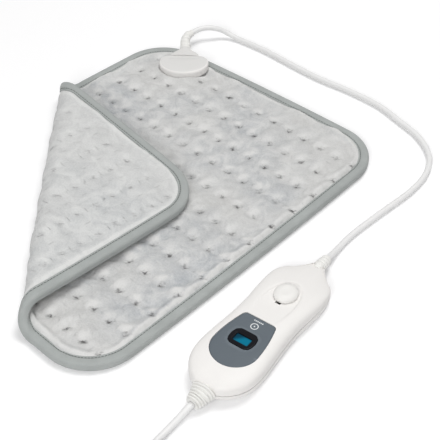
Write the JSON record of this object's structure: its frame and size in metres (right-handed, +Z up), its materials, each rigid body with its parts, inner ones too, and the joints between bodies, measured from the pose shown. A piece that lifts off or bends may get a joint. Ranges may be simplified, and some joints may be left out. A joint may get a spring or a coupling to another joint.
{
  "type": "heating pad",
  "caption": "Soft quilted heating pad with a folded corner, a plug-in socket and a wired hand control with display and thumb slider.",
  "frame": {"origin": "middle of the pad's underside, on the surface that it lies on", "axes": "+Z up from the surface; +Y along the pad towards the edge that carries the socket; +X across the pad towards the hand control"},
  "size_m": [0.5973, 0.5736, 0.0377],
  "materials": {
    "plush_top": "short plush with quilted dots",
    "plush_back": "short plush with faint dots",
    "binding_tape": "woven tape, stitched",
    "felt": "thin felt",
    "wire_insulation": "silicone insulation",
    "white_plastic": "satin moulded",
    "white_rubber": "moulded, matt",
    "white_cord": "smooth cord sheath",
    "slate_plastic": "satin",
    "black_lens": "polished",
    "lit_display": "lit teal",
    "board": "circuit board laminate",
    "dark_plastic": "matt",
    "steel": "zinc plated",
    "brass_contacts": "plated"
  },
  "bodies": {
    "pad": {"pad_top_cover": "plush_top", "pad_bottom_cover": "plush_back", "heating_carrier": "felt", "heating_wire": "wire_insulation", "thermostat": "dark_plastic", "thermostat_lead": "wire_insulation", "edge_binding": "binding_tape", "socket_base": "white_plastic", "socket_backing_ring": "steel", "socket_housing": "white_plastic", "socket_contact_1": "brass_contacts", "socket_contact_2": "brass_contacts", "socket_contact_3": "brass_contacts"},
    "lead": {"plug_upper_shell": "white_plastic", "plug_lower_shell": "white_plastic", "plug_strain_relief": "white_rubber", "pad_cord": "white_cord", "handset_top_shell": "white_plastic", "handset_bottom_shell": "white_plastic", "handset_screw_1": "steel", "handset_screw_2": "steel", "handset_screw_3": "steel", "handset_screw_4": "steel", "display_plate": "slate_plastic", "display_lens": "black_lens", "lcd_panel": "lit_display", "circuit_board": "board", "slide_switch": "dark_plastic", "handset_upper_relief": "white_rubber", "handset_lower_relief": "white_rubber", "mains_cord": "white_cord", "mains_coil": "white_cord", "coil_tie": "dark_plastic", "plug_tail_cord": "white_cord", "mains_plug_relief": "white_rubber", "mains_plug_body": "white_plastic", "mains_plug_pin_1": "brass_contacts", "mains_plug_pin_2": "brass_contacts"},
    "slider": {"thumb_slider": "white_plastic", "slider_carriage": "dark_plastic"}
  },
  "joints": [
    {"name": "connector_unplug", "type": "slide", "parent": "pad", "child": "lead", "axis": [-0.6691, 0.7432, 0], "range_m": [0, 0.014]},
    {"name": "heat_slider", "type": "slide", "parent": "lead", "child": "slider", "axis": [0.1336, -0.9881, 0.0768], "range_m": [-0.004, 0.008]}
  ]
}
